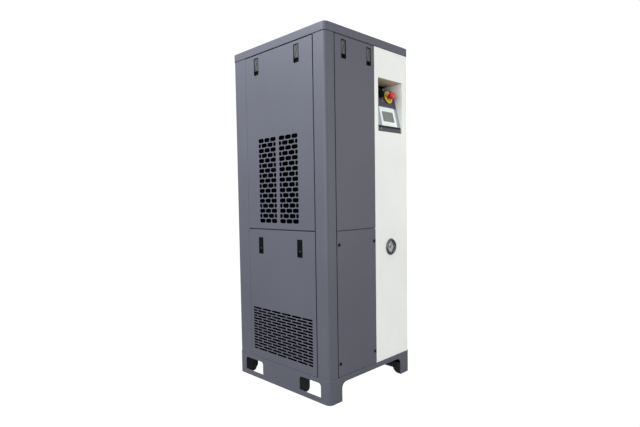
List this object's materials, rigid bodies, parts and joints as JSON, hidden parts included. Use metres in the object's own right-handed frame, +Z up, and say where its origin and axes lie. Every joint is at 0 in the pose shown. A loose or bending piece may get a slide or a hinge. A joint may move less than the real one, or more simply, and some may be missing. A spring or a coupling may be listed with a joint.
{
  "type": "vertical screw compressor cabinet",
  "caption": "Enclosed vertical air compressor: a cabinet on a fork-pocket base, with latched lift-off panels, a recessed control console, a pressure gauge and a belt-driven machine inside.",
  "frame": {"origin": "centre of the footprint on the floor, the bottom centre of the overall box", "axes": "+Z up; -Y is the front with the console, door and gauge; +X is to the right of someone facing the front"},
  "size_m": [0.65, 0.666, 1.7],
  "materials": {
    "dark_paint": "textured powder coat, dark bluish grey, satin",
    "white_paint": "textured powder coat, off-white, satin",
    "black_plastic": "moulded black plastic",
    "latch_grey": "moulded grey latch plastic",
    "plate_grey": "fine satin paint, dark grey",
    "bezel_white": "light moulded plastic",
    "screen_grey": "unlit grey display under gloss film",
    "safety_yellow": "moulded yellow plastic",
    "safety_red": "moulded red plastic",
    "chrome": "polished bezel",
    "dial_white": "printed dial, tick marks only",
    "clear_glass": "clear window",
    "cast_iron": "as-cast, grey primer",
    "steel": "plated steel",
    "rubber": "belt rubber",
    "motor_grey": "painted finned aluminium",
    "tank_black": "black enamel",
    "aluminium": "bare aluminium",
    "filter_white": "white enamel on a thin can",
    "cabinet_grey": "light grey powder coat"
  },
  "bodies": {
    "cabinet": {"base_left_skirt": "dark_paint", "base_right_skirt": "dark_paint", "base_front_rail": "dark_paint", "base_rear_rail": "dark_paint", "base_deck": "dark_paint", "front_left_post": "dark_paint", "rear_left_post": "dark_paint", "rear_right_post": "dark_paint", "mid_frame": "dark_paint", "roof_cap": "dark_paint", "rear_panel": "dark_paint", "front_lower_panel": "dark_paint", "front_white_panel": "white_paint", "console_tray": "white_paint", "front_panel_screw_1": "black_plastic", "front_panel_screw_2": "black_plastic", "front_panel_screw_3": "black_plastic", "front_panel_screw_4": "black_plastic", "selector_base": "black_plastic", "cable_gland": "black_plastic", "intake_filter": "black_plastic", "control_plate": "plate_grey", "hmi_bezel": "bezel_white", "hmi_screen": "screen_grey", "estop_collar": "safety_yellow", "gauge_case": "chrome", "gauge_dial": "dial_white", "gauge_glass": "clear_glass", "airend_housing": "cast_iron", "drive_motor": "motor_grey", "drive_belt": "rubber", "separator_tank": "tank_black", "fan_shroud": "tank_black", "oil_filter": "filter_white", "oil_cooler": "aluminium", "cooler_pipe": "steel", "air_outlet": "steel", "electrical_box": "cabinet_grey"},
    "left_upper_panel": {"left_upper_panel": "dark_paint"},
    "left_lower_panel": {"left_lower_panel": "dark_paint"},
    "right_upper_panel": {"right_upper_panel": "dark_paint"},
    "right_lower_panel": {"right_lower_panel": "dark_paint"},
    "front_door": {"front_door": "dark_paint"},
    "estop_plunger": {"estop_plunger": "black_plastic"},
    "estop_head": {"estop_head": "safety_red"},
    "selector_knob": {"selector_knob": "black_plastic"},
    "gauge_needle": {"gauge_needle": "black_plastic"},
    "motor_rotor": {"motor_pulley": "cast_iron"},
    "airend_rotor": {"airend_pulley": "cast_iron"},
    "fan_rotor": {"fan_rotor": "black_plastic"},
    "left_upper_latch_rear": {"left_upper_latch_rear": "latch_grey"},
    "left_upper_latch_front": {"left_upper_latch_front": "latch_grey"},
    "left_lower_latch_rear": {"left_lower_latch_rear": "latch_grey"},
    "left_lower_latch_front": {"left_lower_latch_front": "latch_grey"},
    "right_upper_latch_front": {"right_upper_latch_front": "latch_grey"},
    "right_upper_latch_rear": {"right_upper_latch_rear": "latch_grey"},
    "right_lower_latch_front": {"right_lower_latch_front": "latch_grey"},
    "right_lower_latch_rear": {"right_lower_latch_rear": "latch_grey"},
    "door_latch_left": {"door_latch_left": "latch_grey"},
    "door_latch_right": {"door_latch_right": "latch_grey"}
  },
  "joints": [
    {"name": "left_upper_tilt", "type": "hinge", "parent": "cabinet", "child": "left_upper_panel", "pos_m": [-0.323, 0, 0.7885], "axis": [0, -1, 0], "range_deg": [0, 20]},
    {"name": "left_lower_tilt", "type": "hinge", "parent": "cabinet", "child": "left_lower_panel", "pos_m": [-0.323, 0, 0.1136], "axis": [0, -1, 0], "range_deg": [0, 20]},
    {"name": "right_upper_tilt", "type": "hinge", "parent": "cabinet", "child": "right_upper_panel", "pos_m": [0.323, 0, 0.7885], "axis": [0, 1, 0], "range_deg": [0, 20]},
    {"name": "right_lower_tilt", "type": "hinge", "parent": "cabinet", "child": "right_lower_panel", "pos_m": [0.323, 0, 0.1136], "axis": [0, 1, 0], "range_deg": [0, 20]},
    {"name": "front_door_tilt", "type": "hinge", "parent": "cabinet", "child": "front_door", "pos_m": [0, -0.323, 0.787], "axis": [1, 0, 0], "range_deg": [0, 20]},
    {"name": "left_upper_latch_rear_swing", "type": "hinge", "parent": "left_upper_panel", "child": "left_upper_latch_rear", "pos_m": [-0.3188, 0.137, 1.6368], "axis": [0, 1, 0], "range_deg": [0, 70]},
    {"name": "left_upper_latch_front_swing", "type": "hinge", "parent": "left_upper_panel", "child": "left_upper_latch_front", "pos_m": [-0.3188, -0.147, 1.6368], "axis": [0, 1, 0], "range_deg": [0, 70]},
    {"name": "left_lower_latch_rear_swing", "type": "hinge", "parent": "left_lower_panel", "child": "left_lower_latch_rear", "pos_m": [-0.3188, 0.128, 0.7378], "axis": [0, 1, 0], "range_deg": [0, 70]},
    {"name": "left_lower_latch_front_swing", "type": "hinge", "parent": "left_lower_panel", "child": "left_lower_latch_front", "pos_m": [-0.3188, -0.15, 0.7378], "axis": [0, 1, 0], "range_deg": [0, 70]},
    {"name": "right_upper_latch_front_swing", "type": "hinge", "parent": "right_upper_panel", "child": "right_upper_latch_front", "pos_m": [0.3188, -0.147, 1.6368], "axis": [0, -1, 0], "range_deg": [0, 70]},
    {"name": "right_upper_latch_rear_swing", "type": "hinge", "parent": "right_upper_panel", "child": "right_upper_latch_rear", "pos_m": [0.3188, 0.137, 1.6368], "axis": [0, -1, 0], "range_deg": [0, 70]},
    {"name": "right_lower_latch_front_swing", "type": "hinge", "parent": "right_lower_panel", "child": "right_lower_latch_front", "pos_m": [0.3188, -0.15, 0.7378], "axis": [0, -1, 0], "range_deg": [0, 70]},
    {"name": "right_lower_latch_rear_swing", "type": "hinge", "parent": "right_lower_panel", "child": "right_lower_latch_rear", "pos_m": [0.3188, 0.128, 0.7378], "axis": [0, -1, 0], "range_deg": [0, 70]},
    {"name": "door_latch_left_swing", "type": "hinge", "parent": "front_door", "child": "door_latch_left", "pos_m": [-0.198, -0.3188, 1.6368], "axis": [-1, 0, 0], "range_deg": [0, 70]},
    {"name": "door_latch_right_swing", "type": "hinge", "parent": "front_door", "child": "door_latch_right", "pos_m": [-0.013, -0.3188, 1.6368], "axis": [-1, 0, 0], "range_deg": [0, 70]},
    {"name": "estop_push", "type": "slide", "parent": "cabinet", "child": "estop_plunger", "axis": [0, 0.9757, -0.2192], "range_m": [0, 0.006], "stiffness_N_per_m": 800, "springref_m": -0.004},
    {"name": "estop_twist", "type": "hinge", "parent": "estop_plunger", "child": "estop_head", "pos_m": [0.203, -0.27823, 1.44398], "axis": [0, 0.9757, -0.2192], "range_deg": [0, 45], "stiffness_Nm_per_rad": 0.08, "springref_deg": -11.46},
    {"name": "selector_turn", "type": "hinge", "parent": "cabinet", "child": "selector_knob", "pos_m": [0.136, -0.2756, 1.45568], "axis": [0, 0.9757, -0.2192], "range_deg": [0, 90]},
    {"name": "gauge_sweep", "type": "hinge", "parent": "cabinet", "child": "gauge_needle", "pos_m": [0.159, -0.323, 0.683], "axis": [0, 1, 0], "range_deg": [-175, 95]},
    {"name": "motor_spin", "type": "hinge", "parent": "cabinet", "child": "motor_rotor", "pos_m": [0.11, -0.186, 0.29], "axis": [0, 1, 0], "continuous": true},
    {"name": "airend_spin", "type": "hinge", "parent": "cabinet", "child": "airend_rotor", "pos_m": [-0.15, -0.186, 0.668], "axis": [0, 1, 0], "continuous": true},
    {"name": "fan_spin", "type": "hinge", "parent": "cabinet", "child": "fan_rotor", "pos_m": [0, 0.11, 1.5], "axis": [0, 0, 1], "continuous": true}
  ],
  "couplings": [
    {"joint": "airend_spin", "follows": "motor_spin", "ratio": 1.5}
  ]
}
